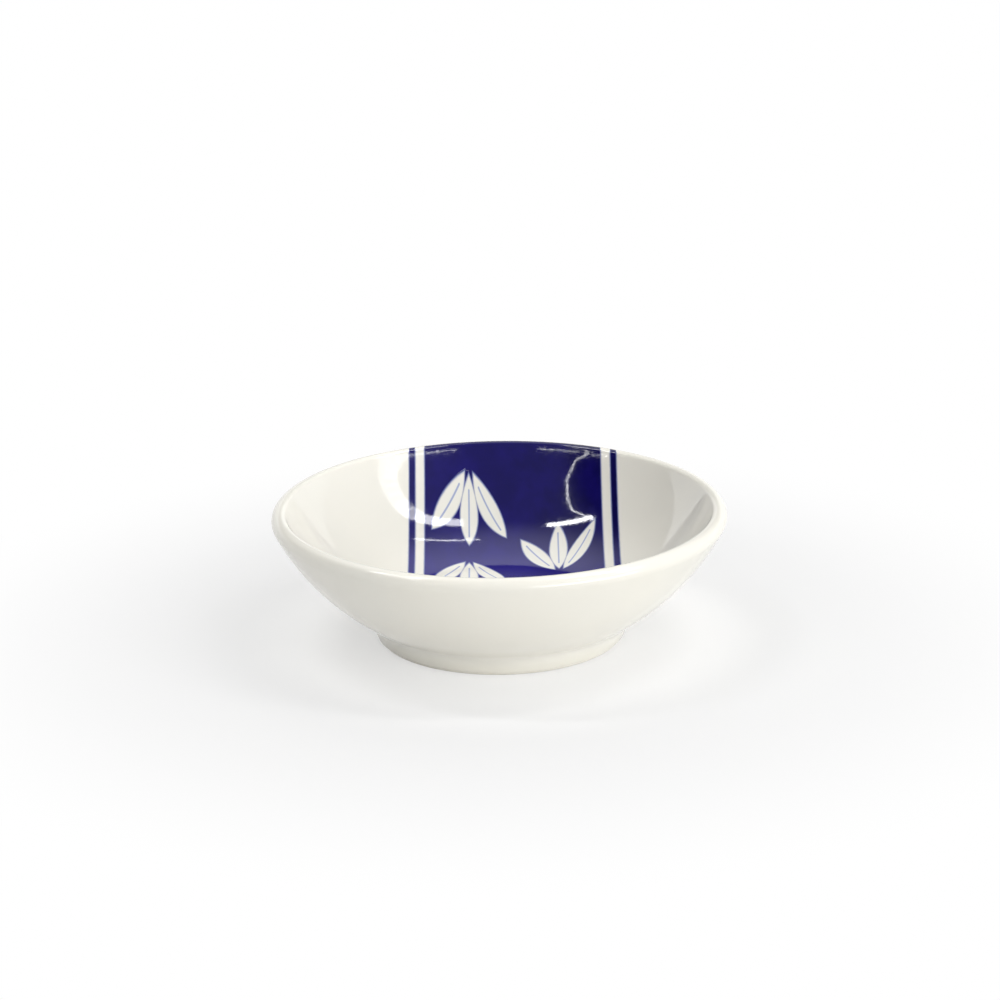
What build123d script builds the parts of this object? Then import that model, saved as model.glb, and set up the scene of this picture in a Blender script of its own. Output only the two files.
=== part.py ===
from build123d import *
import os
from math import atan2, cos, floor, radians, sin, sqrt, tan

# Small footed porcelain sauce dish. A turned bowl stands on a luted foot ring, and a clear glaze covers
# both but for the edge that the dish stands on. A blue print is sunk flush into the glaze of the basin.
# Millimetres, +Z up. The origin is on the table, at the middle of the foot ring.

# Finished size, over the glaze
RIM_DIAMETER = 93.0
HEIGHT = 27.5

# Clay bowl
LIP_OUTER_RADIUS = 1.5
LIP_INNER_RADIUS = 0.8
RIM_LEAN = 27.0  # degrees that the wall leans out of upright where it meets the lip
FLOOR_THICKNESS = 3.4
FLOOR_RADIUS = 15.0  # flat middle of the basin
FLOOR_REACH = 13.0  # how far the curve of the basin keeps to the floor
WALL_REACH = 13.0  # and how far it keeps to the lean of the rim
SEAT_EDGE = 1.2  # height of the bowl's edge above its seat on the foot ring

# Foot ring
FOOT_DIAMETER = 50.0  # outside of the edge that the dish stands on
FOOT_HEIGHT = 3.2
FOOT_FLARE = 18.0  # degrees that the outside of the foot opens upwards
FOOT_DRAFT = 20.0  # degrees that the inside of the foot closes upwards
FOOT_EDGE_WIDTH = 2.4
FOOT_EDGE_ROUND = 0.5

# Clear glaze
GLAZE_THICKNESS = 0.4
GLAZE_EDGE_ROUND = 0.3  # where the glaze ends on the foot
BARE_EDGE_HEIGHT = 0.6  # the foot is wiped clean of glaze up to here
OUTER_POOL_RADIUS = 5.0  # glaze gathers in the corner under the wall
WELL_POOL_RADIUS = 1.0  # and in the corner inside the foot

# Blue print: a broad band along Y with bamboo sprigs left white, and a line along each side
PRINT_THICKNESS = 0.2
BAND_WIDTH = 38.0
BAND_OFFSET = 3.0  # from the middle of the dish to the middle of the band
LINE_WIDTH = 1.3
LINE_GAP = 2.0
LEAF_LENGTH = 13.5
LEAF_WIDTH = 3.9
LEAF_COUNT = 3  # leaves in a sprig
LEAF_SPREAD = 32.0  # degrees from one leaf to the next
LEAF_STEM = 1.6  # from the middle of a sprig to the foot of its leaves
SPRIG_PITCH = 19.0  # from one sprig to the next along the band

# Places that the pieces share
crest_radius = RIM_DIAMETER / 2 - GLAZE_THICKNESS - LIP_OUTER_RADIUS
crest_height = HEIGHT - GLAZE_THICKNESS
floor_height = FOOT_HEIGHT + FLOOR_THICKNESS
lean = radians(RIM_LEAN)
flare = radians(FOOT_FLARE)
draft = radians(FOOT_DRAFT)
down_the_wall = Vector(-sin(lean), -cos(lean))
wall_top = Vector(
    crest_radius + LIP_OUTER_RADIUS * cos(lean), crest_height - LIP_OUTER_RADIUS * (1 + sin(lean))
)
wall_base = Vector(FOOT_DIAMETER / 2, 0) + Vector(tan(flare), 1) * (FOOT_HEIGHT + SEAT_EDGE)
base_lean = 2 * atan2(wall_top.X - wall_base.X, wall_top.Y - wall_base.Y) - lean


def foot_outside(height, coat):
    """Radius of the foot's outside at a height, with a coat on it."""
    return FOOT_DIAMETER / 2 + height * tan(flare) + coat / cos(flare)


def foot_inside(height, coat):
    """Radius of the foot's inside at a height, with a coat on it."""
    return FOOT_DIAMETER / 2 - FOOT_EDGE_WIDTH - height * tan(draft) - coat / cos(draft)


def wall_corner(coat):
    """Corner between the wall and the foot, with a coat on both."""
    middle = (base_lean + flare) / 2
    return wall_base + Vector(cos(middle), -sin(middle)) * (coat / cos(base_lean - middle))


def well_corner(coat):
    """Corner between the underside of the bowl and the foot, with a coat on both."""
    return Vector(foot_inside(FOOT_HEIGHT - coat, coat), FOOT_HEIGHT - coat)


def dish_half(coat):
    """Half section of the dish down to the bare edge of its foot, with a coat all over the clay."""
    with BuildSketch(Plane.XZ) as half:
        with BuildLine():
            outer_lip = CenterArc(
                (crest_radius, crest_height - LIP_OUTER_RADIUS),
                LIP_OUTER_RADIUS + coat,
                -RIM_LEAN,
                90 + RIM_LEAN,
            )
            inner_lip = CenterArc(
                (crest_radius, crest_height - LIP_INNER_RADIUS),
                LIP_INNER_RADIUS + coat,
                90,
                90 - RIM_LEAN,
            )
            floor_edge = Vector(FLOOR_RADIUS, floor_height + coat)
            wall_pull = inner_lip @ 1 + down_the_wall * WALL_REACH
            Bezier(inner_lip @ 1, wall_pull, floor_edge + Vector(FLOOR_REACH, 0), floor_edge)
            Polyline(
                floor_edge,
                (0, floor_height + coat),
                (0, FOOT_HEIGHT - coat),
                well_corner(coat),
                (foot_inside(BARE_EDGE_HEIGHT, coat), BARE_EDGE_HEIGHT),
                (foot_outside(BARE_EDGE_HEIGHT, coat), BARE_EDGE_HEIGHT),
                wall_corner(coat),
            )
            TangentArc(outer_lip @ 0, wall_corner(coat), tangent=down_the_wall)
        make_face()
    return half.sketch_local


# Bowl: the turned clay body, with a flat seat for the foot ring underneath
with BuildPart() as porcelain_bowl:
    with BuildSketch(Plane.XZ) as bowl_section:
        add(dish_half(0))
        with Locations((0, FOOT_HEIGHT)):
            Rectangle(RIM_DIAMETER, HEIGHT, align=(Align.MIN, Align.MIN), mode=Mode.INTERSECT)
    revolve(axis=Axis.Z)
porcelain_bowl.part.label = "porcelain_bowl"

# Foot ring: luted flat under the bowl, with both sides of its standing edge rounded
with BuildPart() as foot_ring:
    with BuildSketch(Plane.XZ) as foot_section:
        with BuildLine():
            Polyline(
                (foot_outside(0, 0), 0),
                (foot_outside(FOOT_HEIGHT, 0), FOOT_HEIGHT),
                well_corner(0),
                (foot_inside(0, 0), 0),
                close=True,
            )
        make_face()
        fillet(foot_section.vertices().group_by(Axis.Y)[0], FOOT_EDGE_ROUND)
    revolve(axis=Axis.Z)
foot_ring.part.label = "foot_ring"

# Half section of the glaze: pooled in the corners beside the foot, with its two ends rounded
with BuildSketch(Plane.XZ) as glaze_section:
    add(dish_half(GLAZE_THICKNESS))
    fillet(glaze_section.vertices().sort_by_distance(wall_corner(GLAZE_THICKNESS))[0], OUTER_POOL_RADIUS)
    fillet(glaze_section.vertices().sort_by_distance(well_corner(GLAZE_THICKNESS))[0], WELL_POOL_RADIUS)
    fillet(glaze_section.vertices().group_by(Axis.Y)[0], GLAZE_EDGE_ROUND)
    add(bowl_section.sketch_local, mode=Mode.SUBTRACT)
    add(foot_section.sketch_local, mode=Mode.SUBTRACT)

# Print skin: the top of the basin's glaze, in to the middle from the crest of the lip
with BuildPart() as print_skin:
    with BuildSketch(Plane.XZ) as skin_section:
        add(dish_half(GLAZE_THICKNESS))
        add(dish_half(GLAZE_THICKNESS - PRINT_THICKNESS), mode=Mode.SUBTRACT)
        with Locations((0, floor_height)):
            Rectangle(crest_radius, HEIGHT, align=(Align.MIN, Align.MIN), mode=Mode.INTERSECT)
    revolve(skin_section.sketch.faces().sort_by(Axis.X)[0], axis=Axis.Z)

# One bamboo leaf, from its foot at the origin to its tip along X
with BuildSketch() as leaf:
    with BuildLine():
        SagittaArc((0, 0), (LEAF_LENGTH, 0), LEAF_WIDTH / 2)
        SagittaArc((0, 0), (LEAF_LENGTH, 0), -LEAF_WIDTH / 2)
    make_face()

# Sprig: leaves fanned about Y, with the middle leaf centred on the origin
with BuildSketch() as sprig:
    fan = LEAF_SPREAD * (LEAF_COUNT - 1)
    with Locations((0, -LEAF_STEM - LEAF_LENGTH / 2)):
        with PolarLocations(LEAF_STEM, LEAF_COUNT, 90 - fan / 2, fan, endpoint=True):
            add(leaf.sketch)

# Blue band: two columns of sprigs are left white, pointing opposite ways and half a pitch apart, as many
# as fit whole inside the lip
column_offset = BAND_WIDTH / 4
column_half = sqrt(crest_radius**2 - (abs(BAND_OFFSET) + column_offset) ** 2)
sprig_half = LEAF_STEM + LEAF_LENGTH / 2 + SPRIG_PITCH / 4
sprig_rows = floor(2 * (column_half - sprig_half) / SPRIG_PITCH) + 1
with BuildPart() as blue_band:
    with BuildSketch():
        with Locations((BAND_OFFSET, 0)):
            Rectangle(BAND_WIDTH, RIM_DIAMETER)
            with PolarLocations(column_offset, 2):
                with Locations((0, -SPRIG_PITCH / 4)):
                    with GridLocations(0, SPRIG_PITCH, 1, sprig_rows):
                        add(sprig.sketch, mode=Mode.SUBTRACT)
    extrude(amount=HEIGHT)
    add(print_skin.part, mode=Mode.INTERSECT)
blue_band.part.label = "blue_band"

# Border lines: one along each side of the band
with BuildPart() as blue_border_lines:
    with BuildSketch():
        with Locations((BAND_OFFSET, 0)):
            with GridLocations(BAND_WIDTH + 2 * LINE_GAP + LINE_WIDTH, 0, 2, 1):
                Rectangle(LINE_WIDTH, RIM_DIAMETER)
    extrude(amount=HEIGHT)
    add(print_skin.part, mode=Mode.INTERSECT)
blue_border_lines.part.label = "blue_border_lines"

# Glaze coat: from the wiped line up the outside, over the lip and across the basin, recessed for the print
with BuildPart() as glaze_coat:
    revolve(glaze_section.sketch.faces().sort_by(SortBy.AREA)[-1], axis=Axis.Z)
    add(blue_band.part, mode=Mode.SUBTRACT)
    add(blue_border_lines.part, mode=Mode.SUBTRACT)
glaze_coat.part.label = "glaze_coat"

# Foot well glaze: the separate patch under the bowl, inside the foot ring
with BuildPart() as foot_well_glaze:
    revolve(glaze_section.sketch.faces().sort_by(SortBy.AREA)[0], axis=Axis.Z)
foot_well_glaze.part.label = "foot_well_glaze"

os.makedirs("parts", exist_ok=True)
for piece in (porcelain_bowl, foot_ring, blue_band, blue_border_lines, glaze_coat, foot_well_glaze):
    export_step(piece.part, f"parts/{piece.part.label}.step")
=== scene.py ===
"""Looks of a small footed porcelain sauce dish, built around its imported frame.

Sizes are in millimetres, in the frame of the part: +Z up, the origin on the table at the middle of the
foot ring, and the blue band along Y. Meshes are made in metres.
"""

import logging
from dataclasses import dataclass
from enum import Enum
from functools import cached_property
from math import asin, atan, atan2, cos, degrees, floor, hypot, pi, radians, sin, sqrt, tan, tau
from typing import Any

import bmesh
import bpy
from mathutils import Matrix, Vector, noise
from mathutils.geometry import interpolate_bezier


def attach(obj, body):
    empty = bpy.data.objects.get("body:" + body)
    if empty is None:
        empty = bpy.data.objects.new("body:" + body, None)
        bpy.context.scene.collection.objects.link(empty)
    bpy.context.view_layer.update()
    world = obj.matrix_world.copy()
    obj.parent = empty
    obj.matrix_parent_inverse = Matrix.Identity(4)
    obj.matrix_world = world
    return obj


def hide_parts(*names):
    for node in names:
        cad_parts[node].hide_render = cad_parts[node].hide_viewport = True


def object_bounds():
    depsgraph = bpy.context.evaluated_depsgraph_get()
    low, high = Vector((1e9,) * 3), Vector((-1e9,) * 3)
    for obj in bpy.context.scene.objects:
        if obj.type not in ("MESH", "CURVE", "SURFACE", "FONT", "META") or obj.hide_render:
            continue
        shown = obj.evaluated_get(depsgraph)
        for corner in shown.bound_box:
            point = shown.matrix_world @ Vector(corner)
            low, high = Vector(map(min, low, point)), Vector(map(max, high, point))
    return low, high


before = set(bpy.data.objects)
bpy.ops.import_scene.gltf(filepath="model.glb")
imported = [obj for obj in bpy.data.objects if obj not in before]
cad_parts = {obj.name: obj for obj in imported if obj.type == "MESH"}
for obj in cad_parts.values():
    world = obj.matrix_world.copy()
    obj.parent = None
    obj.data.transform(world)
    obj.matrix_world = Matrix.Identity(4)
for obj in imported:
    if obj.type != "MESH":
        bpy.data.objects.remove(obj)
CAD_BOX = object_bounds()

MM = 0.001
WELD = 0.002 * MM  # vertices nearer than this are one
SHARP = radians(40)  # faces that meet at more than this keep an edge between them
ABRUPT = 0.001  # width of a step that looks sharp

Colour = tuple[float, float, float]
Point = tuple[float, float, float]
Pair = tuple[float, float]
Knot = tuple[float, float, float, float]  # X, Y, and the width and radiance of the lamp after it
Material = bpy.types.Material
Object = bpy.types.Object
Socket = bpy.types.NodeSocket
Mesh = bmesh.types.BMesh

log = logging.getLogger("sauce_dish")


class Slot(Enum):
    """Material slots."""

    CLAY = "porcelain_clay"
    GLAZE = "clear_glaze"
    COBALT = "cobalt_blue"


class Fan(Enum):
    """Which leaves of a sprig a cutter holds, as turns from the middle leaf."""

    LEFT = 1
    MIDDLE = 0
    RIGHT = -1


class Value:
    """A number socket that Python's operators work on, each adding a Math node."""

    def __init__(self, recipe: "Recipe", socket: Socket) -> None:
        """Wraps a socket of a recipe's tree."""
        self.recipe = recipe
        self.socket = socket

    def math(self, operation: str, *others: "Value | float", swap: bool = False) -> "Value":
        """Adds one Math node, with this value first, or last where they swap."""
        inputs = [*others, self] if swap else [self, *others]
        return self.recipe.value("ShaderNodeMath", {"operation": operation}, dict(enumerate(inputs)))

    def __add__(self, other: "Value | float") -> "Value":
        """Sum."""
        return self.math("ADD", other)

    __radd__ = __add__

    def __sub__(self, other: "Value | float") -> "Value":
        """Difference."""
        return self.math("SUBTRACT", other)

    def __rsub__(self, other: float) -> "Value":
        """Difference, with this value taken away."""
        return self.math("SUBTRACT", other, swap=True)

    def __mul__(self, other: "Value | float") -> "Value":
        """Product."""
        return self.math("MULTIPLY", other)

    __rmul__ = __mul__

    def __truediv__(self, other: "Value | float") -> "Value":
        """Quotient."""
        return self.math("DIVIDE", other)

    def __rtruediv__(self, other: float) -> "Value":
        """Quotient, with this value below."""
        return self.math("DIVIDE", other, swap=True)

    def __abs__(self) -> "Value":
        """Size without sign."""
        return self.math("ABSOLUTE")

    def least(self, other: "Value | float") -> "Value":
        """The smaller of two."""
        return self.math("MINIMUM", other)

    def most(self, other: "Value | float") -> "Value":
        """The larger of two."""
        return self.math("MAXIMUM", other)

    def rise(self, low: float, high: float) -> "Value":
        """A smooth step from 0 at low to 1 at high."""
        sockets = {"Value": self, "From Min": low, "From Max": high}
        return self.recipe.value("ShaderNodeMapRange", {"interpolation_type": "SMOOTHSTEP"}, sockets)

    def fall(self, low: float, high: float) -> "Value":
        """A smooth step from 1 at low to 0 at high."""
        return 1.0 - self.rise(low, high)


def length(a: Value, b: Value) -> Value:
    """Length of a plane vector with these two parts."""
    return (a * a + b * b).math("SQRT")


class Recipe:
    """The nodes of one material or of the sky."""

    def __init__(self, owner: Material | bpy.types.World) -> None:
        """Clears the tree of a material or sky."""
        owner.use_nodes = True
        self.owner = owner
        self.tree = owner.node_tree
        self.tree.nodes.clear()

    @classmethod
    def material(cls, name: str) -> "Recipe":
        """Starts a material of that name."""
        return cls(bpy.data.materials.new(name))

    def node(
        self,
        kind: str,
        settings: dict[str, Any] | None = None,
        sockets: dict[str | int, Any] | None = None,
    ) -> bpy.types.Node:
        """Adds a node.

        Args:
            kind: the node's type.
            settings: properties of the node, set first.
            sockets: values or links of its inputs, by name or number.

        Returns:
            The node.
        """
        made = self.tree.nodes.new(kind)
        for key, setting in (settings or {}).items():
            setattr(made, key, setting)
        for key, given in (sockets or {}).items():
            source = given.socket if isinstance(given, Value) else given
            if isinstance(source, Socket):
                self.tree.links.new(source, made.inputs[key])
            else:
                made.inputs[key].default_value = source
        return made

    def value(self, kind: str, settings: dict[str, Any] | None, sockets: dict[str | int, Any]) -> Value:
        """Adds a node, and takes its first output as a number."""
        return Value(self, self.node(kind, settings, sockets).outputs[0])

    @cached_property
    def place(self) -> Socket:
        """The point on the piece, in millimetres of the part's frame."""
        sockets = {0: self.node("ShaderNodeTexCoord").outputs["Object"], "Scale": 1 / MM}
        return self.node("ShaderNodeVectorMath", {"operation": "SCALE"}, sockets).outputs[0]

    def parts(self, vector: Socket) -> tuple[Value, Value, Value]:
        """A vector's three numbers."""
        split = self.node("ShaderNodeSeparateXYZ", None, {0: vector})
        return tuple(Value(self, out) for out in split.outputs)

    def blend(self, base: Colour | Socket, over: Colour, amount: Value) -> Socket:
        """Lays one colour over another, as much of it as the amount from 0 to 1."""
        sockets = {0: amount, 6: (*base, 1.0) if isinstance(base, tuple) else base, 7: (*over, 1.0)}
        return self.node("ShaderNodeMix", {"data_type": "RGBA"}, sockets).outputs[2]


@dataclass(frozen=True)
class Clouds:
    """Soft noise over a surface, from low to high. Its size is in millimetres."""

    size: float
    detail: float = 2.0  # octaves of finer noise
    stretch: Point = (1, 1, 1)  # how much longer a cloud is along each axis
    firm: Pair | None = None  # a smooth step between these two sharpens the noise
    low: float = 0.0
    high: float = 1.0

    def read(self, recipe: Recipe) -> Value:
        """Adds the noise to a recipe.

        Args:
            recipe: the recipe.

        Returns:
            The noise.
        """
        stretched = {"Vector": recipe.place, "Scale": self.stretch}
        scaled = recipe.node("ShaderNodeMapping", {"vector_type": "TEXTURE"}, stretched)
        sockets = {"Vector": scaled.outputs[0], "Scale": 1 / self.size, "Detail": self.detail}
        made = recipe.value("ShaderNodeTexNoise", None, sockets)
        if self.firm:
            made = made.rise(*self.firm)
        return self.low + (self.high - self.low) * made


@dataclass(frozen=True)
class Specks:
    """Round specks scattered over a surface, in millimetres."""

    spacing: float  # size of the cells that may hold one
    radius: float
    share: float  # of the cells that hold one
    strength: float

    def read(self, recipe: Recipe) -> Value:
        """Adds the specks to a recipe.

        Args:
            recipe: the recipe.

        Returns:
            Their strength inside them, and 0 outside.
        """
        sockets = {"Vector": recipe.place, "Scale": 1 / self.spacing}
        cells = recipe.node("ShaderNodeTexVoronoi", None, sockets)
        chance, _, _ = recipe.parts(cells.outputs["Color"])
        near = Value(recipe, cells.outputs["Distance"]) * self.spacing
        held = chance.fall(self.share, self.share + ABRUPT)
        return near.fall(self.radius / 2, self.radius) * held * self.strength


@dataclass(frozen=True)
class DishForm:
    """Sizes of the dish that its pieces share."""

    rim_diameter: float = 93.0
    height: float = 27.5
    lip_outer: float = 1.5
    lip_inner: float = 0.8
    rim_lean: float = 27.0
    floor_thickness: float = 3.4
    floor_radius: float = 15.0
    floor_reach: float = 13.0
    wall_reach: float = 13.0
    seat_edge: float = 1.2
    foot_diameter: float = 50.0
    foot_height: float = 3.2
    foot_flare: float = 18.0
    foot_draft: float = 20.0
    foot_edge: float = 2.4
    glaze: float = 0.4
    glaze_end_round: float = 0.3
    bare_height: float = 0.6  # the foot is wiped clean of glaze up to here

    @property
    def crest_radius(self) -> float:
        """Radius of the top of the lip."""
        return self.rim_diameter / 2 - self.glaze - self.lip_outer

    @property
    def clay_crest(self) -> float:
        """Height of the clay at the top of the lip."""
        return self.height - self.glaze

    @property
    def clay_floor(self) -> float:
        """Height of the clay in the middle of the basin."""
        return self.foot_height + self.floor_thickness

    @property
    def inner_lip(self) -> Pair:
        """Middle of the arc on the inside of the lip."""
        return self.crest_radius, self.clay_crest - self.lip_inner

    @property
    def outer_lip(self) -> Pair:
        """Middle of the arc on the outside of the lip."""
        return self.crest_radius, self.clay_crest - self.lip_outer

    @property
    def wall_top(self) -> Vector:
        """Where the clay wall meets the outside of the lip."""
        lean = radians(self.rim_lean)
        return Vector(self.outer_lip) + Vector((cos(lean), -sin(lean))) * self.lip_outer

    @property
    def wall_base(self) -> Vector:
        """Where the clay wall meets the outside of the foot."""
        rise = self.foot_height + self.seat_edge
        return Vector((self.foot_diameter / 2 + rise * tan(radians(self.foot_flare)), rise))

    @property
    def base_lean(self) -> float:
        """How far the wall leans out of upright where it meets the foot, in degrees."""
        chord = self.wall_top - self.wall_base
        return 2 * degrees(atan2(chord.x, chord.y)) - self.rim_lean

    def wall_circle(self, coat: float) -> tuple[Vector, float]:
        """The circle that the outside of the wall follows.

        Args:
            coat: thickness of the coat on it.

        Returns:
            Its middle and its radius.
        """
        lean = radians(self.rim_lean)
        outward = Vector((cos(lean), -sin(lean)))
        top = self.wall_top + outward * coat
        across = self.wall_corner(coat) - top
        radius = -across.length_squared / (2 * across.dot(outward))
        return top - outward * radius, radius

    def wall_corner(self, coat: float) -> Vector:
        """Corner between the wall and the foot.

        Args:
            coat: thickness of the coat on both.

        Returns:
            The corner.
        """
        middle = radians((self.base_lean + self.foot_flare) / 2)
        spread = radians((self.base_lean - self.foot_flare) / 2)
        return self.wall_base + Vector((cos(middle), -sin(middle))) * (coat / cos(spread))

    def foot_outside(self, height: float, coat: float) -> float:
        """Radius of the foot's outside at a height, with a coat on it."""
        flare = radians(self.foot_flare)
        return self.foot_diameter / 2 + height * tan(flare) + coat / cos(flare)

    def foot_inside(self, height: float, coat: float) -> float:
        """Radius of the foot's inside at a height, with a coat on it."""
        draft = radians(self.foot_draft)
        return self.foot_diameter / 2 - self.foot_edge - height * tan(draft) - coat / cos(draft)


def only_verts(geometry: list[Any]) -> list[bmesh.types.BMVert]:
    """The vertices among the parts of a mesh."""
    return [part for part in geometry if isinstance(part, bmesh.types.BMVert)]


class Section:
    """A half section drawn point by point in the XZ plane, then turned about Z."""

    def __init__(self, radius: float, height: float) -> None:
        """Starts the section at a point."""
        self.mesh = bmesh.new()
        self.first = self.mesh.verts.new((radius * MM, 0, height * MM))
        self.tip = self.first

    def reach(self, point: Vector) -> None:
        """Draws one edge to a point, in metres."""
        self.tip = bmesh.ops.extrude_vert_indiv(self.mesh, verts=[self.tip])["verts"][0]
        self.tip.co = point

    def line(self, radius: float, height: float, steps: int = 1) -> "Section":
        """Draws a straight line.

        Args:
            radius: radius of its end.
            height: height of its end.
            steps: edges along it.

        Returns:
            The section.
        """
        start = self.tip.co.copy()
        end = Vector((radius * MM, 0, height * MM))
        for step in range(steps):
            self.reach(start.lerp(end, (step + 1) / steps))
        return self

    def arc(self, radius: float, height: float, turn: float, steps: int) -> "Section":
        """Draws an arc about a middle.

        Args:
            radius: radius of its middle.
            height: height of its middle.
            turn: degrees, counted from outwards to upwards.
            steps: edges along it.

        Returns:
            The section.
        """
        swept = bmesh.ops.spin(
            self.mesh,
            geom=[self.tip],
            cent=(radius * MM, 0, height * MM),
            axis=(0, -1, 0),
            angle=radians(turn),
            steps=steps,
        )
        self.tip = only_verts(swept["geom_last"])[0]
        return self

    def curve(self, first: Pair, second: Pair, end: Pair, steps: int) -> "Section":
        """Draws a cubic curve.

        Args:
            first: handle at its start.
            second: handle at its end.
            end: its end.
            steps: edges along it.

        Returns:
            The section.
        """
        handles = [Vector((r * MM, 0, z * MM)) for r, z in (first, second, end)]
        for point in interpolate_bezier(self.tip.co, *handles, steps + 1)[1:]:
            self.reach(point)
        return self

    def round(self, corner: Pair, end: Pair, radius: float, steps: int) -> "Section":
        """Draws a line to a corner and on towards an end, with the corner rounded off.

        Args:
            corner: the corner.
            end: where the line after it leads.
            radius: radius of the round.
            steps: edges along the round.

        Returns:
            The section, at the end of the round.
        """
        here = Vector((self.tip.co.x, self.tip.co.z)) / MM
        before = (Vector(corner) - here).normalized()
        after = (Vector(end) - Vector(corner)).normalized()
        turn = before.angle_signed(after)
        side = 1 if turn < 0 else -1
        start = Vector(corner) - before * radius * tan(abs(turn) / 2)
        middle = start + Vector((-before.y, before.x)) * radius * side
        self.line(*start)
        return self.arc(*middle, -degrees(turn), steps)

    def close(self) -> "Section":
        """Joins the last point to the first."""
        self.mesh.edges.new((self.tip, self.first))
        return self

    def turned(self, segments: int) -> Mesh:
        """Turns the section into a solid.

        Args:
            segments: faces around it.

        Returns:
            The closed mesh, facing outwards.
        """
        drawn = [*self.mesh.verts, *self.mesh.edges]
        bmesh.ops.spin(self.mesh, geom=drawn, axis=(0, 0, 1), angle=tau, steps=segments, use_merge=True)
        bmesh.ops.remove_doubles(self.mesh, verts=self.mesh.verts[:], dist=WELD)
        bmesh.ops.recalc_face_normals(self.mesh, faces=self.mesh.faces[:])
        return self.mesh


def sway(mesh: Mesh, depth: float, size: float, even: float = 0.7) -> None:
    """Sinks a surface unevenly, as a glaze settles in the kiln.

    Args:
        mesh: the mesh, changed in place.
        depth: most that a vertex sinks, in millimetres.
        size: size of a swell in millimetres.
        even: share of the depth that a vertex sinks on the whole.
    """
    mesh.normal_update()
    sunk = [(v, even + (1 - even) * noise.noise(v.co / (size * MM))) for v in mesh.verts]
    moves = [(v, v.normal * share * depth * MM) for v, share in sunk]
    for vertex, move in moves:
        vertex.co -= move


def make_object(name: str, mesh: Mesh) -> Object:
    """Makes a smooth-shaded object of a mesh and frees the mesh.

    Args:
        name: name of the object.
        mesh: its mesh.

    Returns:
        The object, in the scene.
    """
    mesh.normal_update()
    for face in mesh.faces:
        face.smooth = True
    for edge in mesh.edges:
        edge.smooth = len(edge.link_faces) == 2 and edge.calc_face_angle(0) < SHARP
    data = bpy.data.meshes.new(name)
    mesh.to_mesh(data)
    mesh.free()
    made = bpy.data.objects.new(name, data)
    bpy.context.scene.collection.objects.link(made)
    return made


def fit(piece: Object, finish: Material, slot: Slot, *nodes: str) -> None:
    """Puts a finished piece on the frame.

    Args:
        piece: the piece.
        finish: its material.
        slot: not used.
        nodes: the CAD nodes that it stands for.
    """
    piece.data.materials.clear()
    piece.data.materials.append(finish)
    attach(piece, "root")
    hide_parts(*nodes)
    log.info("%s: %d faces, stands for %s", piece.name, len(piece.data.polygons), ", ".join(nodes))


@dataclass(frozen=True)
class PrintLayout:
    """Plan of the blue print: a band with sprigs left white, and a line along each side."""

    crest_radius: float
    band_width: float = 38.0
    band_offset: float = 3.0
    line_width: float = 1.3
    line_gap: float = 2.0
    leaf_length: float = 13.5
    leaf_width: float = 3.9
    leaf_spread: float = 32.0
    leaf_stem: float = 1.6
    sprig_pitch: float = 19.0
    vein_share: float = 0.66  # of a leaf's length
    vein_inset: float = 0.9  # from a leaf's outline
    ragged: Clouds = Clouds(1.2, low=0.7, high=1.3)  # how far the edge bleeds from place to place

    @property
    def column_offset(self) -> float:
        """From the middle of the band to a column of sprigs."""
        return self.band_width / 4

    @property
    def line_middle(self) -> float:
        """From the middle of the band to the middle of a border line."""
        return self.band_width / 2 + self.line_gap + self.line_width / 2

    @property
    def leaf_reach(self) -> float:
        """From the middle of a sprig's fan to the middle of a leaf."""
        return self.leaf_stem + self.leaf_length / 2

    @property
    def leaf_circle(self) -> float:
        """Radius of the arcs that a leaf is drawn with."""
        half = self.leaf_width / 2
        return (self.leaf_length**2 / 4 + half**2) / (2 * half)

    @property
    def leaf_sag(self) -> float:
        """From a leaf's midline to the middle of either arc."""
        return self.leaf_circle - self.leaf_width / 2

    @property
    def rows(self) -> list[float]:
        """Middles of the sprigs along a column, as many as fit whole inside the lip."""
        half_column = sqrt(self.crest_radius**2 - (self.band_offset + self.column_offset) ** 2)
        shift = self.sprig_pitch / 4
        count = floor(2 * (half_column - self.leaf_reach - shift) / self.sprig_pitch) + 1
        return [(i - (count - 1) / 2) * self.sprig_pitch - shift for i in range(count)]

    def leaf_edge(self, along: Value, across: Value) -> Value:
        """Distance from a leaf's outline, below zero inside, from a place on the leaf's own axes."""
        return length(along, across + self.leaf_sag) - self.leaf_circle

    def outline(self, recipe: Recipe) -> tuple[Value, Value]:
        """Distance from the print's outline and from the midline of the nearest leaf, in plan.

        Args:
            recipe: the recipe that it belongs to.

        Returns:
            The first distance, below zero inside the blue, and the second.
        """
        x, y, _ = recipe.parts(recipe.place)
        middle = x - self.band_offset
        off = abs(middle)
        aside = abs(off - self.column_offset)
        run = y * middle.math("SIGN")
        rows = self.rows
        half_pitch = self.sprig_pitch / 2
        beyond = (run - (rows[-1] + half_pitch)).most((rows[0] - half_pitch) - run)
        step = (run - rows[0]).math("WRAP", half_pitch, -half_pitch)
        turn = radians(self.leaf_spread)
        from_fan = step + self.leaf_reach
        along = aside * sin(turn) + from_fan * cos(turn) - self.leaf_reach
        across = abs(from_fan * sin(turn) - aside * cos(turn))
        leaf = self.leaf_edge(step, aside).least(self.leaf_edge(along, across)).most(beyond)
        band = (off - self.band_width / 2).most(leaf * -1.0)
        line = abs(off - self.line_middle) - self.line_width / 2
        vein_half = self.vein_share * self.leaf_length / 2
        vein_middle = aside + (abs(step) - vein_half).most(0.0)
        vein_side = across + (abs(along) - vein_half).most(0.0)
        return band.least(line), vein_middle.least(vein_side).most(leaf + self.vein_inset)


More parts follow.
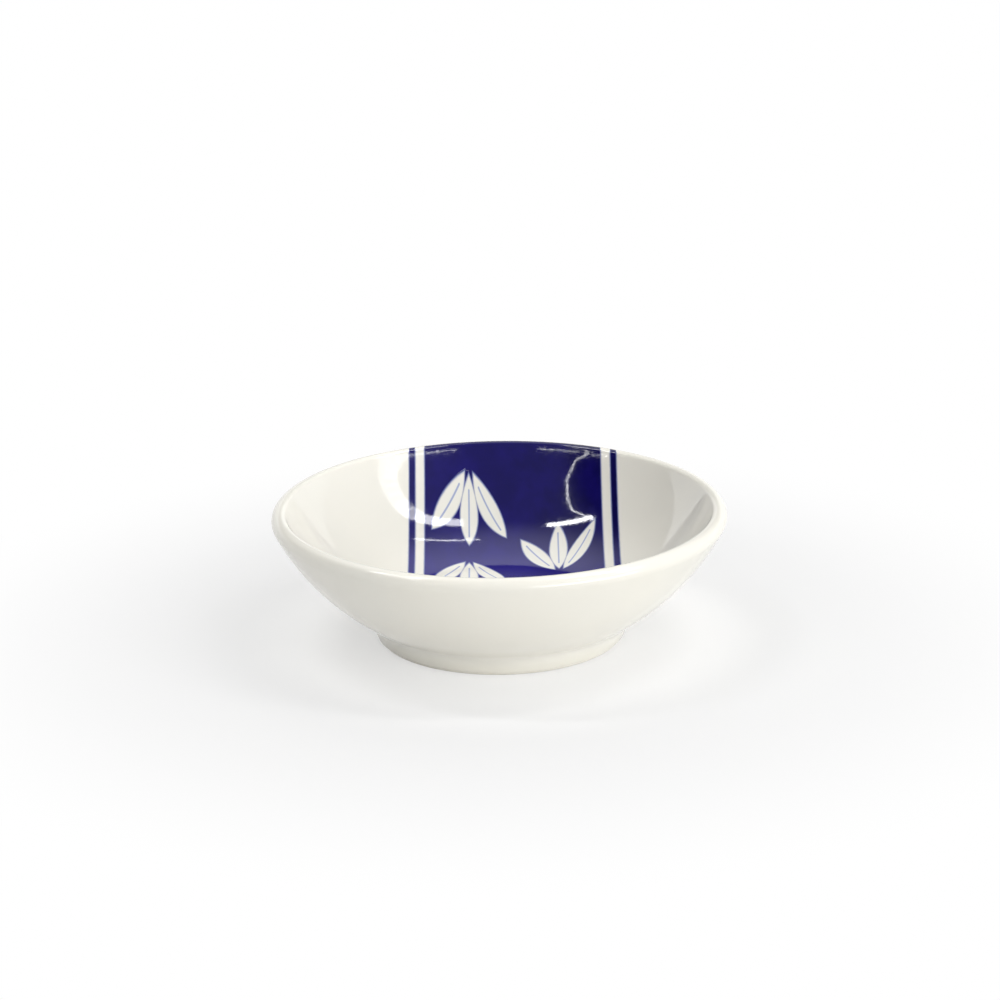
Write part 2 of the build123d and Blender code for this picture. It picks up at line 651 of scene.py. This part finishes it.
@dataclass(frozen=True)
class Finish:
    """What every finish of the dish has."""

    name: str
    relief: float  # depth of its unevenness in millimetres
    roughness: Clouds
    ior: float

    def coated(self, recipe: Recipe, tone: Socket, height: Value) -> Material:
        """Ends a recipe with a Principled shader.

        Args:
            recipe: the recipe.
            tone: colour of the surface.
            height: height of the surface, of which 1 is the depth of the relief.

        Returns:
            The material.
        """
        bump = recipe.node("ShaderNodeBump", None, {"Distance": self.relief * MM, "Height": height})
        sockets = {
            "Base Color": tone,
            "Roughness": self.roughness.read(recipe),
            "IOR": self.ior,
            "Normal": bump.outputs["Normal"],
        }
        shader = recipe.node("ShaderNodeBsdfPrincipled", None, sockets)
        recipe.node("ShaderNodeOutputMaterial", None, {"Surface": shader.outputs[0]})
        return recipe.owner


@dataclass(frozen=True)
class GlazeFinish(Finish):
    """Clear glaze over white porcelain, tinted by the print beside it."""

    name: str = "clear_glaze_on_porcelain"
    relief: float = 0.012
    roughness: Clouds = Clouds(14.0, firm=(0.45, 0.8), low=0.06, high=0.11)
    ior: float = 1.52
    swell: Clouds = Clouds(7.0, 1.0)
    pits: Clouds = Clouds(1.1, 0.0, high=0.12)
    body: Colour = (0.86, 0.838, 0.757)
    cool: Colour = (0.835, 0.825, 0.762)
    cool_clouds: Clouds = Clouds(22.0, firm=(0.35, 0.75), high=0.5)
    # glaze pooled round the foot corner, partly real pooling and partly painted light: painted lighter
    # than the body to lift the shade there
    pooled_and_lit: Colour = (0.92, 0.905, 0.845)
    lit_pool_height: float = 3.9
    lit_pool_fade: Pair = (0.2, 2.4)
    lit_pool_clouds: Clouds = Clouds(5.0, low=0.42, high=0.6)
    speck: Colour = (0.42, 0.34, 0.25)
    specks: Specks = Specks(9.0, 0.16, 0.05, 0.6)
    wall_fade: Pair = (1.8, 1.4)  # the basin begins this far inside the glazed wall
    lip_fade: Pair = (0.8, 0.5)  # and ends this far inside the crest of the lip
    vein: Colour = (0.30, 0.36, 0.60)
    vein_fade: Pair = (0.10, 0.24)
    vein_strength: float = 0.85
    bleed: Colour = (0.16, 0.19, 0.42)
    bleed_fade: Pair = (-0.08, 0.45)

    def material(self, form: DishForm, layout: PrintLayout | None = None) -> Material:
        """Mixes the finish.

        Args:
            form: the dish that it covers.
            layout: the print that lies in the glaze, if any.

        Returns:
            The material.
        """
        recipe = Recipe.material(self.name)
        x, y, z = recipe.parts(recipe.place)
        tone = recipe.blend(self.body, self.cool, self.cool_clouds.read(recipe))
        # painted light: the pooled glaze between wall and foot is painted lighter, filling the shade that
        # falls in that corner
        pool = abs(z - self.lit_pool_height).fall(*self.lit_pool_fade) * self.lit_pool_clouds.read(recipe)
        tone = recipe.blend(tone, self.pooled_and_lit, pool)
        tone = recipe.blend(tone, self.speck, self.specks.read(recipe))
        if layout:
            radius = length(x, y)
            middle, wall = form.wall_circle(form.glaze)
            inside = length(radius - middle.x, z - middle.y).fall(*(wall - f for f in self.wall_fade))
            basin = inside * radius.fall(*(form.crest_radius - f for f in self.lip_fade))
            edge, vein = layout.outline(recipe)
            tone = recipe.blend(tone, self.vein, vein.fall(*self.vein_fade) * basin * self.vein_strength)
            soft = (edge / layout.ragged.read(recipe)).fall(*self.bleed_fade)
            tone = recipe.blend(tone, self.bleed, soft * soft * basin)
        return self.coated(recipe, tone, self.swell.read(recipe) + self.pits.read(recipe))


@dataclass(frozen=True)
class CobaltFinish(Finish):
    """Cobalt print under a clear glaze, paler where it is thin and where its edge bleeds, and painted
    paler towards -X as painted light.
    """

    name: str = "cobalt_under_glaze"
    relief: float = 0.012
    roughness: Clouds = Clouds(0.9, 1.0, firm=(0.4, 0.7), low=0.05, high=0.09)
    ior: float = 1.52
    swell: Clouds = Clouds(7.0, 1.0)
    pits: Clouds = Clouds(0.4, 0.0, high=0.22)
    deep: Colour = (0.003, 0.002, 0.062)
    # pale blue of thin print, also used for the painted light on the -X side
    thin_and_lit: Colour = (0.013, 0.007, 0.19)
    thin_clouds: Clouds = Clouds(6.0, 3.0, (1, 2.5, 1), firm=(0.35, 0.8), high=0.35)
    floor_fade: Pair = (20.0, 37.0)  # thinner on the floor of the basin
    floor_share: float = 0.65
    lit_side_fade: Pair = (-5.0, 20.0)  # and paler towards -X, as painted light on the side that the light falls on
    lit_side_share: float = 0.25
    speck: Colour = (0.20, 0.22, 0.45)
    specks: Specks = Specks(5.0, 0.14, 0.10, 0.5)
    bleed: Colour = (0.16, 0.19, 0.42)
    bleed_rise: Pair = (-0.30, 0.02)

    def material(self, layout: PrintLayout) -> Material:
        """Mixes the finish.

        Args:
            layout: the print that it belongs to.

        Returns:
            The material.
        """
        recipe = Recipe.material(self.name)
        x, y, _ = recipe.parts(recipe.place)
        on_floor = length(x, y).fall(*self.floor_fade) * self.floor_share
        # painted light: the blue is painted paler on the -X side, where the light falls
        on_lit_side = x.fall(*self.lit_side_fade) * self.lit_side_share
        thinned_and_lit = self.thin_clouds.read(recipe) + on_floor + on_lit_side
        tone = recipe.blend(self.deep, self.thin_and_lit, thinned_and_lit.least(1.0))
        tone = recipe.blend(tone, self.speck, self.specks.read(recipe))
        edge, _ = layout.outline(recipe)
        soft = (edge / layout.ragged.read(recipe)).rise(*self.bleed_rise)
        tone = recipe.blend(tone, self.bleed, soft * soft)
        return self.coated(recipe, tone, self.swell.read(recipe) + self.pits.read(recipe))


@dataclass(frozen=True)
class BiscuitFinish(Finish):
    """Bare fired clay, warm where the glaze ends and grey where it stands on tables."""

    name: str = "bare_biscuit_clay"
    relief: float = 0.03
    roughness: Clouds = Clouds(0.35, 3.0, low=0.72, high=0.92)
    ior: float = 1.5
    grain: Clouds = Clouds(0.35, 3.0)
    body: Colour = (0.84, 0.815, 0.745)
    rubbed: Colour = (0.68, 0.65, 0.60)
    rub_fade: Pair = (0.0, 0.25)
    rub_clouds: Clouds = Clouds(2.5, firm=(0.4, 0.7))
    flash: Colour = (0.76, 0.69, 0.56)
    flash_fade: Pair = (0.05, 0.55)
    flash_clouds: Clouds = Clouds(3.0, firm=(0.3, 0.7), high=0.35)
    grit: Colour = (0.36, 0.31, 0.26)
    specks: Specks = Specks(1.6, 0.14, 0.12, 0.7)

    def material(self, form: DishForm) -> Material:
        """Mixes the finish.

        Args:
            form: the dish that it belongs to.

        Returns:
            The material.
        """
        recipe = Recipe.material(self.name)
        _, _, z = recipe.parts(recipe.place)
        worn = z.fall(*self.rub_fade) * self.rub_clouds.read(recipe)
        tone = recipe.blend(self.body, self.rubbed, worn)
        burnt = abs(z - form.bare_height).fall(*self.flash_fade) * self.flash_clouds.read(recipe)
        tone = recipe.blend(tone, self.flash, burnt)
        tone = recipe.blend(tone, self.grit, self.specks.read(recipe))
        return self.coated(recipe, tone, self.grain.read(recipe))


@dataclass
class ClayBowl:
    """The clay body inside the glaze, shown as it is packed."""

    form: DishForm
    finish: BiscuitFinish

    def dress(self) -> None:
        """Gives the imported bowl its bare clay."""
        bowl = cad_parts["porcelain_bowl"]
        bowl.data.materials.clear()
        bowl.data.materials.append(self.finish.material(self.form))
        log.info("%s: packed node, dressed", bowl.name)


@dataclass(frozen=True)
class CoatSteps:
    """Edges along each stretch of the glaze coat's section, in the order that it is drawn."""

    floor: int = 10
    basin: int = 64
    inner_lip: int = 12
    outer_lip: int = 18
    wall: int = 56
    pool: int = 20
    end: int = 5
    hidden_foot: int = 3
    hidden_wall: int = 24
    hidden_outer_lip: int = 8
    hidden_inner_lip: int = 6
    hidden_basin: int = 24


@dataclass
class GlazeCoat:
    """The glaze from the foot up the outside, over the lip and across the basin."""

    form: DishForm
    finish: GlazeFinish
    layout: PrintLayout
    steps: CoatSteps = CoatSteps()
    segments: int = 240
    pool_radius: float = 5.0
    settle_depth: float = 0.03
    settle_size: float = 18.0
    wipe_lift: float = 0.08
    wipe_wander: float = 0.16
    wipe_size: float = 6.0
    wipe_fade: float = 1.2  # height above the wiped line that still wanders with it
    wipe_shift: Point = (3, 7, 1)  # which stretch of the noise the wiped line follows

    def basin(self, coat: float) -> list[Pair]:
        """The curve of the basin from its flat middle up to the lip.

        Args:
            coat: thickness of the coat on the clay.

        Returns:
            The curve's start, its two handles and its end.
        """
        form = self.form
        lean = radians(form.rim_lean)
        level = form.clay_floor + coat
        top = Vector(form.inner_lip) + Vector((-cos(lean), sin(lean))) * (form.lip_inner + coat)
        pull = top - Vector((sin(lean), cos(lean))) * form.wall_reach
        start = (form.floor_radius, level)
        return [start, (form.floor_radius + form.floor_reach, level), tuple(pull), tuple(top)]

    @property
    def clay_wall_turn(self) -> float:
        """Degrees that the outside of the clay wall turns from the foot up to the lip."""
        middle, _ = self.form.wall_circle(0)
        down = self.form.wall_corner(0) - middle
        return -degrees(atan2(down.y, down.x)) - self.form.rim_lean

    def pool(self) -> tuple[Vector, float, float]:
        """The pool of glaze in the corner under the wall.

        Returns:
            Its middle, and the turns of the wall and of the pool that lead to the foot, in degrees.
        """
        form = self.form
        middle, radius = form.wall_circle(form.glaze)
        flare = radians(form.foot_flare)
        outward = Vector((cos(flare), -sin(flare)))
        along = Vector((sin(flare), cos(flare)))
        near = outward * (form.foot_diameter / 2 * cos(flare) + form.glaze + self.pool_radius)
        gap = near - middle
        half = gap.dot(along)
        reach = radius + self.pool_radius
        centre = near - along * (half + sqrt(half**2 - gap.length_squared + reach**2))
        away = centre - middle
        meets = degrees(atan2(away.y, away.x))
        return centre, -meets - form.rim_lean, -meets - form.foot_flare

    def shell(self) -> Mesh:
        """Turns the coat.

        Returns:
            The closed mesh.
        """
        form, steps = self.form, self.steps
        start, *up = self.basin(form.glaze)
        section = Section(0, start[1]).line(*start, steps.floor).curve(*up, steps.basin)
        section.arc(*form.inner_lip, form.rim_lean - 90, steps.inner_lip)
        section.arc(*form.outer_lip, -90 - form.rim_lean, steps.outer_lip)
        glazed_wall, _ = form.wall_circle(form.glaze)
        pool, wall_turn, pool_turn = self.pool()
        section.arc(*glazed_wall, -wall_turn, steps.wall).arc(*pool, pool_turn, steps.pool)
        end = (form.foot_outside(form.bare_height, form.glaze), form.bare_height)
        wiped = (form.foot_outside(form.bare_height, 0), form.bare_height)
        section.round(end, wiped, form.glaze_end_round, steps.end).line(*wiped)
        section.line(form.foot_outside(form.foot_height, 0), form.foot_height, steps.hidden_foot)
        clay_wall, _ = form.wall_circle(0)
        section.line(*form.wall_base).arc(*clay_wall, self.clay_wall_turn, steps.hidden_wall)
        section.arc(*form.outer_lip, 90 + form.rim_lean, steps.hidden_outer_lip)
        section.arc(*form.inner_lip, 90 - form.rim_lean, steps.hidden_inner_lip)
        *down, _ = self.basin(0)
        section.curve(*reversed(down), steps.hidden_basin).line(0, form.clay_floor)
        mesh = section.turned(self.segments)
        sway(mesh, self.settle_depth, self.settle_size)
        self.wander(mesh)
        return mesh

    def wander(self, mesh: Mesh) -> None:
        """Lets the wiped line on the foot wander up and down.

        Args:
            mesh: the coat, changed in place.
        """
        for vertex in mesh.verts:
            above = vertex.co.z / MM - self.form.bare_height
            if above < self.wipe_fade:
                swing = noise.noise(vertex.co / (self.wipe_size * MM) + Vector(self.wipe_shift))
                share = 1 - max(above, 0) / self.wipe_fade
                vertex.co.z += (self.wipe_lift + swing * self.wipe_wander) * share * MM

    def build(self, shell: Mesh) -> None:
        """Makes and dresses the coat from its mesh, which is used up."""
        piece = make_object("glaze_skin", shell)
        fit(piece, self.finish.material(self.form, self.layout), Slot.GLAZE, "glaze_coat")


@dataclass
class BluePrint:
    """The blue print, a thin skin in the surface of the basin's glaze."""

    form: DishForm
    finish: CobaltFinish
    layout: PrintLayout
    skin: float = 0.06
    lift: float = 0.012  # how far the skin stands above the glaze
    near_end: float = 27.37  # heights at which the print ends, at the front and at the back
    far_end: float = 27.51
    least_rise: float = 0.05  # faces of the basin point up by more than this
    wall_clear: float = 0.7  # and lie further than this inside the clay's outside
    leaf_steps: int = 22

    def basin_skin(self, shell: Mesh, middle: float, width: float) -> Mesh:
        """Takes a strip along Y of the basin's surface from the glaze, and gives it a thickness.

        Args:
            shell: the glaze coat's mesh.
            middle: where the middle of the strip is along X.
            width: how wide the strip is.

        Returns:
            The strip, a closed thin solid.
        """
        strip = shell.copy()
        strip.normal_update()
        wall, wall_radius = self.form.wall_circle(0)
        crest = self.form.crest_radius

        def outside(face: bmesh.types.BMFace) -> bool:
            """Whether a face is no part of the basin's upper surface."""
            x, y, z = face.calc_center_median() / MM
            off_axis = hypot(x, y)
            depth = wall_radius - hypot(off_axis - wall.x, z - wall.y)
            return face.normal.z < self.least_rise or off_axis > crest or depth < self.wall_clear

        rest = [f for f in strip.faces if outside(f)]
        bmesh.ops.delete(strip, geom=rest, context="FACES")
        tilt = (self.far_end - self.near_end) / (2 * crest)
        cuts = (
            ((middle - width / 2, 0, 0), (-1, 0, 0)),
            ((middle + width / 2, 0, 0), (1, 0, 0)),
            ((0, 0, (self.near_end + self.far_end) / 2), (0, -tilt, 1)),
        )
        for point, away in cuts:
            bmesh.ops.bisect_plane(
                strip,
                geom=[*strip.verts, *strip.edges, *strip.faces],
                plane_co=Vector(point) * MM,
                plane_no=away,
                clear_outer=True,
            )
        strip.normal_update()
        moves = [(v, v.normal * self.lift * MM) for v in strip.verts]
        for vertex, move in moves:
            vertex.co += move
        bmesh.ops.solidify(strip, geom=strip.faces[:], thickness=self.skin * MM)
        bmesh.ops.recalc_face_normals(strip, faces=strip.faces[:])
        return strip

    def leaf_cutter(self, fan: Fan) -> Object:
        """Makes the cutter for one leaf of every sprig.

        Args:
            fan: which leaf.

        Returns:
            A spare object of upright leaf-shaped prisms.
        """
        plan = self.layout
        cutter = bmesh.new()
        tip = [cutter.verts.new((0, plan.leaf_stem * MM, 0))]
        for side in (1, -1):
            swept = bmesh.ops.spin(
                cutter,
                geom=tip,
                cent=(-side * plan.leaf_sag * MM, plan.leaf_reach * MM, 0),
                axis=(0, 0, 1),
                angle=2 * asin(plan.leaf_length / 2 / plan.leaf_circle),
                steps=self.leaf_steps,
            )
            tip = only_verts(swept["geom_last"])
        bmesh.ops.remove_doubles(cutter, verts=cutter.verts[:], dist=WELD)
        bmesh.ops.contextual_create(cutter, geom=cutter.edges[:])
        raised = bmesh.ops.extrude_face_region(cutter, geom=cutter.faces[:])["geom"]
        bmesh.ops.translate(cutter, verts=only_verts(raised), vec=(0, 0, 2 * self.form.height * MM))
        bmesh.ops.recalc_face_normals(cutter, faces=cutter.faces[:])
        swing = Matrix.Rotation(fan.value * radians(plan.leaf_spread), 4, "Z")
        bmesh.ops.transform(cutter, matrix=swing, verts=cutter.verts[:])
        leaf = [*cutter.verts, *cutter.edges, *cutter.faces]
        for row in plan.rows:
            for half_turn in (0, pi):
                copied = bmesh.ops.duplicate(cutter, geom=leaf)["geom"]
                move = (
                    Matrix.Translation((plan.band_offset * MM, 0, 0))
                    @ Matrix.Rotation(half_turn, 4, "Z")
                    @ Matrix.Translation((plan.column_offset * MM, (row - plan.leaf_reach) * MM, 0))
                )
                bmesh.ops.transform(cutter, matrix=move, verts=only_verts(copied))
        bmesh.ops.delete(cutter, geom=only_verts(leaf), context="VERTS")
        return make_object(f"leaf_cutter_{fan.name.lower()}", cutter)

    def carved(self, blank: Object, tools: list[Object]) -> Mesh:
        """Cuts the leaves out of a blank.

        Args:
            blank: the uncut strip, which is used up.
            tools: what is cut away, used up as well.

        Returns:
            The cut strip.
        """
        for tool in tools:
            cut = blank.modifiers.new(tool.name, "BOOLEAN")
            cut.operation = "DIFFERENCE"
            cut.solver = "EXACT"
            cut.object = tool
        bpy.context.view_layer.update()
        done = blank.evaluated_get(bpy.context.evaluated_depsgraph_get())
        mesh = bmesh.new()
        mesh.from_mesh(done.to_mesh())
        done.to_mesh_clear()
        for spare in (blank, *tools):
            data = spare.data
            bpy.data.objects.remove(spare)
            bpy.data.meshes.remove(data)
        return mesh

    def build(self, shell: Mesh) -> None:
        """Makes and dresses the band and the border lines.

        Args:
            shell: the glaze coat's mesh, left as it is.
        """
        plan = self.layout
        material = self.finish.material(plan)
        blank = make_object("band_blank", self.basin_skin(shell, plan.band_offset, plan.band_width))
        band = make_object("band_print", self.carved(blank, [self.leaf_cutter(fan) for fan in Fan]))
        fit(band, material, Slot.COBALT, "blue_band")
        lines = bmesh.new()
        for side in (-1, 1):
            strip = self.basin_skin(shell, plan.band_offset + side * plan.line_middle, plan.line_width)
            data = bpy.data.meshes.new("line")
            strip.to_mesh(data)
            strip.free()
            lines.from_mesh(data)
            bpy.data.meshes.remove(data)
        fit(make_object("border_print", lines), material, Slot.COBALT, "blue_border_lines")


@dataclass
class FootRing:
    """The clay ring under the bowl, with its standing edge left bare."""

    form: DishForm
    finish: BiscuitFinish
    edge_round: float = 0.5
    round_steps: int = 8
    side_steps: int = 4
    segments: int = 240
    wear: float = 0.03
    wear_height: float = 0.5
    wear_size: float = 2.5
    unworn: float = 0.35  # noise below this leaves the edge level

    def build(self) -> None:
        """Makes and dresses the ring."""
        form = self.form
        outer, inner = (form.foot_outside(0, 0), 0.0), (form.foot_inside(0, 0), 0.0)
        seat = (form.foot_inside(form.foot_height, 0), form.foot_height)
        section = Section(form.foot_outside(form.foot_height, 0), form.foot_height)
        section.round(outer, inner, self.edge_round, self.round_steps)
        section.round(inner, seat, self.edge_round, self.round_steps)
        mesh = section.line(*seat, self.side_steps).close().turned(self.segments)
        for vertex in mesh.verts:
            if vertex.co.z < self.wear_height * MM:
                rough = 0.5 + 0.5 * noise.noise(vertex.co / (self.wear_size * MM))
                vertex.co.z += max(rough - self.unworn, 0) * self.wear * MM
        piece = make_object("foot_ring_clay", mesh)
        fit(piece, self.finish.material(form), Slot.CLAY, "foot_ring")


@dataclass
class FootWell:
    """The patch of glaze under the bowl, inside the foot ring."""

    form: DishForm
    finish: GlazeFinish
    pool_radius: float = 1.0
    ceiling_steps: int = 14
    pool_steps: int = 8
    end_steps: int = 5
    segments: int = 200
    settle_depth: float = 0.04
    settle_size: float = 9.0

    def build(self) -> None:
        """Makes and dresses the patch."""
        form = self.form
        ceiling = form.foot_height - form.glaze
        corner = (form.foot_inside(ceiling, form.glaze), ceiling)
        end = (form.foot_inside(form.bare_height, form.glaze), form.bare_height)
        wiped = (form.foot_inside(form.bare_height, 0), form.bare_height)
        section = Section(0, ceiling).line(form.floor_radius, ceiling, self.ceiling_steps)
        section.round(corner, end, self.pool_radius, self.pool_steps)
        section.round(end, wiped, form.glaze_end_round, self.end_steps).line(*wiped)
        section.line(form.foot_inside(form.foot_height, 0), form.foot_height)
        mesh = section.line(0, form.foot_height).turned(self.segments)
        sway(mesh, self.settle_depth, self.settle_size)
        piece = make_object("foot_well_skin", mesh)
        fit(piece, self.finish.material(form), Slot.GLAZE, "foot_well_glaze")


@dataclass(frozen=True)
class Strip:
    """A soft strip light between two points, in metres."""

    name: str
    start: Point
    end: Point
    width: float
    radiance: float

    def build(self) -> None:
        """Hangs the strip, turned towards the dish."""
        start, end = Vector(self.start), Vector(self.end)
        middle = (start + end) / 2
        along = (end - start).normalized()
        away = (middle - along * middle.dot(along)).normalized()
        lamp = bpy.data.lights.new(self.name, "AREA")
        lamp.shape = "RECTANGLE"
        lamp.size = (end - start).length
        lamp.size_y = self.width
        lamp.energy = self.radiance * pi * lamp.size * lamp.size_y
        light = bpy.data.objects.new(self.name, lamp)
        turn = Matrix((along, away.cross(along), away)).transposed().to_4x4()
        light.matrix_world = Matrix.Translation(middle) @ turn
        light.visible_camera = False
        bpy.context.scene.collection.objects.link(light)


def even_knots(width: float, radiance: float, *places: Pair) -> tuple[Knot, ...]:
    """Knots at some places, all of one width and radiance."""
    return tuple((*place, width, radiance) for place in places)


@dataclass(frozen=True)
class Ribbon:
    """Strip lights hung end to end at one height, in metres."""

    name: str
    knots: tuple[Knot, ...]
    height: float = 1.0
    lap: float = 0.05  # how far they overlap, as a share of their width

    def build(self) -> None:
        """Hangs the strips, each with its number after the ribbon's name."""
        for number, (knot, after) in enumerate(zip(self.knots, self.knots[1:])):
            *_, width, radiance = knot
            start, end = (Vector((x, y, self.height)) for x, y, *_ in (knot, after))
            more = (end - start).normalized() * self.lap * width
            Strip(f"{self.name}_{number}", tuple(start - more), tuple(end + more), width, radiance).build()


@dataclass
class Studio:
    """A pale floor, soft strip lights and the camera."""

    lamps: tuple[Strip | Ribbon, ...]
    elevation: float = 19.35
    distance: float = 0.651  # metres
    focal_pixels: float = 3168.0
    picture: int = 1000
    dish_pixel: Pair = (499.0, 568.6)
    roll: float = 0.8
    sensor: float = 36.0
    nearest: float = 0.01
    floor_radius: float = 2600.0
    floor_gap: float = 0.02  # between the floor and the foot
    cove: float = 400.0
    wall_height: float = 850.0
    floor_steps: int = 12
    cove_steps: int = 10
    floor_segments: int = 96
    floor_near: Colour = (0.96, 0.96, 0.96)
    floor_far: Colour = (0.72, 0.72, 0.72)
    floor_fade: Pair = (38.0, 62.0)
    white_near: float = 0.5  # share of glowing white that is seen beside the dish, painted light that pales the dish's shadow
    white_fade: Pair = (45.0, 130.0)
    sky_dark: float = 0.03
    sky_left: float = 0.325
    sky_right: float = 0.58
    left_rise: Pair = (-0.66, -0.46)
    right_rise: Pair = (0.2, 0.85)
    glow: float = 1.3
    glow_elevation: float = 60.0
    glow_spread: Pair = (36.0, 4.0)

    def build_floor(self) -> None:
        """Makes the floor, coved up into a low wall all round."""
        level = -self.floor_gap
        section = Section(0, level).line(self.floor_radius - self.cove, level, self.floor_steps)
        section.arc(self.floor_radius - self.cove, self.cove + level, 90, self.cove_steps)
        mesh = section.line(self.floor_radius, self.wall_height).turned(self.floor_segments)
        floor_piece = make_object("floor", mesh)
        floor_piece.data.flip_normals()
        floor_piece.data.materials.append(self.paper())

    def paper(self) -> Material:
        """Mixes pale paper that keeps a shadow near the dish, paled there by glowing white as painted
        light, and turns plain white away from it.

        Returns:
            The material.
        """
        recipe = Recipe.material("studio_paper")
        x, y, _ = recipe.parts(recipe.place)
        path = recipe.node("ShaderNodeLightPath")
        seen = Value(recipe, path.outputs["Is Camera Ray"])
        for ray in ("Is Glossy Ray", "Is Transmission Ray"):
            seen = seen.most(Value(recipe, path.outputs[ray]))
        radius = length(x, y)
        # painted light: beside the dish part of what the camera and reflections see is glowing white,
        # which pales the shadow
        far = self.white_near + (1 - self.white_near) * radius.rise(*self.white_fade)
        tone = recipe.blend(self.floor_near, self.floor_far, radius.rise(*self.floor_fade))
        matt = recipe.node("ShaderNodeBsdfDiffuse", None, {"Color": tone})
        white = recipe.node("ShaderNodeEmission", None, {"Color": (1.0, 1.0, 1.0, 1.0), "Strength": 1.0})
        shaders = {0: seen * far, 1: matt.outputs[0], 2: white.outputs[0]}
        mixed = recipe.node("ShaderNodeMixShader", None, shaders)
        recipe.node("ShaderNodeOutputMaterial", None, {"Surface": mixed.outputs[0]})
        return recipe.owner

    def build_sky(self) -> None:
        """Sets a dim soft sky, lighter on the right and glowing high up behind the dish."""
        world = bpy.data.worlds.new("studio_sky")
        recipe = Recipe(world)
        way = recipe.node("ShaderNodeTexCoord").outputs["Generated"]
        side, _, _ = recipe.parts(way)
        height = radians(self.glow_elevation)
        middle = (0, cos(height), sin(height))
        towards = recipe.node("ShaderNodeVectorMath", {"operation": "DOT_PRODUCT"}, {0: way, 1: middle})
        wide, narrow = (cos(radians(angle)) for angle in self.glow_spread)
        glow = Value(recipe, towards.outputs["Value"]).rise(wide, narrow) * self.glow
        left = side.rise(*self.left_rise) * (self.sky_left - self.sky_dark)
        right = side.rise(*self.right_rise) * (self.sky_right - self.sky_left)
        light = left + right + glow + self.sky_dark
        sky = recipe.node("ShaderNodeBackground", None, {"Strength": light})
        recipe.node("ShaderNodeOutputWorld", None, {"Surface": sky.outputs[0]})
        bpy.context.scene.world = world

    def build_camera(self) -> None:
        """Sets the camera at the photograph's angle."""
        lens = bpy.data.cameras.new("camera")
        lens.sensor_width = self.sensor
        lens.lens = self.focal_pixels * self.sensor / self.picture
        lens.clip_start = self.nearest
        camera = bpy.data.objects.new("camera", lens)
        tilt = radians(self.elevation)
        target = Vector((0, 0, CAD_BOX[1].z / 2))
        camera.location = target + Vector((0, -cos(tilt), sin(tilt))) * self.distance
        drop = atan((self.dish_pixel[1] - self.picture / 2) / self.focal_pixels)
        swing = atan((self.picture / 2 - self.dish_pixel[0]) / self.focal_pixels)
        turn = (
            Matrix.Rotation(-swing, 4, "Z")
            @ Matrix.Rotation(pi / 2 - tilt + drop, 4, "X")
            @ Matrix.Rotation(-radians(self.roll), 4, "Z")
        )
        camera.rotation_euler = turn.to_euler()
        bpy.context.scene.collection.objects.link(camera)
        bpy.context.scene.camera = camera

    def build(self) -> None:
        """Builds the whole studio."""
        self.build_floor()
        self.build_sky()
        for lamp in self.lamps:
            lamp.build()
        self.build_camera()
        bpy.context.scene.view_settings.view_transform = "Standard"


LAMPS = (
    Ribbon(
        "key",
        (
            (0.235, -0.003, 0.11, 14.0),
            (0.43, 0.028, 0.13, 14.0),
            (0.60, 0.018, 0.18, 8.0),
            (0.725, -0.012, 0.21, 5.0),
            (0.86, -0.064, 0.22, 3.6),
            (1.01, -0.14, 0.25, 3.0),
            (1.154, -0.22, 0.28, 3.0),
            *even_knots(0.29, 3.0, (1.293, -0.319), (1.38, -0.425)),
            (1.416, -0.552, 0.25, 3.0),
            (1.37, -0.68, 0.14, 3.2),
            (1.26, -0.81, 0.06, 5.0),
            (1.105, -0.93, 0.04, 12.0),
            *even_knots(0.019, 62.0, (0.95, -1.012), (0.742, -1.104), (0.58, -1.16)),
        ),
    ),
    Strip("strip_left", (-0.285, 0.065, 1.0), (-0.68, 0.12, 1.0), 0.058, 33.0),
    Ribbon(
        "strip_left_thin",
        (
            *even_knots(0.012, 22.0, (-0.64, 0.10), (-0.54, -0.07), (-0.56, -0.24)),
            *even_knots(0.012, 22.0, (-0.67, -0.52), (-0.93, -0.77), (-1.2, -0.81)),
        ),
    ),
    Ribbon(
        "strip_front_left",
        (
            *even_knots(0.012, 62.0, (-0.545, -1.155), (-0.825, -1.06), (-1.105, -0.925)),
            *even_knots(0.012, 62.0, (-1.415, -0.73), (-1.565, -0.62)),
        ),
    ),
    Strip("strip_back", (0.10, 0.28, 1.0), (0.50, 0.37, 1.0), 0.014, 21.0),
    Strip("panel_front", (0.4, -1.5, 0.25), (1.7, -0.6, 0.25), 0.4, 5.4),
)


def main() -> None:
    """Builds the dish and its studio."""
    logging.basicConfig(level=logging.INFO, format="%(name)s: %(message)s")
    form = DishForm()
    layout = PrintLayout(form.crest_radius)
    glaze, cobalt, biscuit = GlazeFinish(), CobaltFinish(), BiscuitFinish()
    ClayBowl(form, biscuit).dress()
    coat = GlazeCoat(form, glaze, layout)
    shell = coat.shell()
    BluePrint(form, cobalt, layout).build(shell)
    coat.build(shell)
    FootRing(form, biscuit).build()
    FootWell(form, glaze).build()
    Studio(LAMPS).build()


if __name__ == "__main__":
    main()
